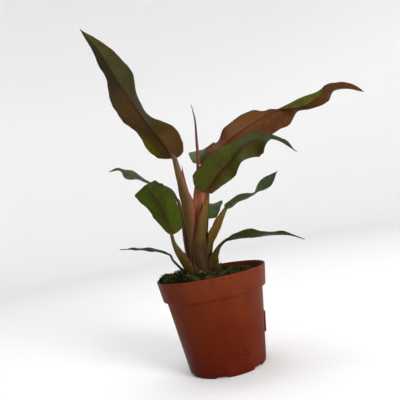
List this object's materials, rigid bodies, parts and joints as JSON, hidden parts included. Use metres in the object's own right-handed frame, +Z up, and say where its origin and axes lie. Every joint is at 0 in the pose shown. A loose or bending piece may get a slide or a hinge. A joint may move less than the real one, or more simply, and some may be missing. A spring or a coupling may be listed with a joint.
{
  "type": "potted orange marmalade philodendron",
  "caption": "Young self-heading philodendron with strap leaves on sheathed stalks, rooted in mossy soil in a tapered plastic nursery pot that stands on its own foot.",
  "frame": {"origin": "middle of the pot's underside, on the surface that the pot stands on", "axes": "+Z up along the pot's axis, -Y to the front as pictured, +X to the right"},
  "size_m": [0.3767, 0.205, 0.4256],
  "materials": {
    "pot_plastic": "terracotta-coloured moulded plastic, satin",
    "soil": "damp peat potting mix, matt",
    "moss": "living moss over soil, matt",
    "stem": "green-brown stem, matt",
    "rolled_leaf": "rolled young leaf, pink-maroon, satin",
    "stalk_red": "reddish leaf stalk with sheath, satin",
    "stalk_olive": "olive leaf stalk with sheath, satin",
    "blade_bronze": "bronze-green leaf, satin",
    "blade_copper": "copper leaf underside, satin",
    "blade_green": "olive-green leaf, satin",
    "blade_grey_green": "grey-green leaf, satin"
  },
  "bodies": {
    "root": {"pot": "pot_plastic", "soil": "soil", "moss": "moss", "crown": "stem", "rolled_leaf": "rolled_leaf", "stalk_tall_right": "stalk_red", "blade_tall_right": "blade_copper", "stalk_tall_left": "stalk_red", "blade_tall_left": "blade_bronze", "stalk_arching_front": "stalk_olive", "blade_arching_front": "blade_green", "stalk_nodding_left": "stalk_olive", "blade_nodding_left": "blade_green", "stalk_small_left": "stalk_olive", "blade_small_left": "blade_grey_green", "stalk_small_back": "stalk_olive", "blade_small_back": "blade_grey_green", "stalk_small_middle": "stalk_olive", "blade_small_middle": "blade_grey_green", "stalk_curled_right": "stalk_olive", "blade_curled_right": "blade_grey_green", "stalk_low_right": "stalk_olive", "blade_low_right": "blade_grey_green", "stalk_low_left": "stalk_olive", "blade_low_left": "blade_grey_green"}
  },
  "joints": []
}
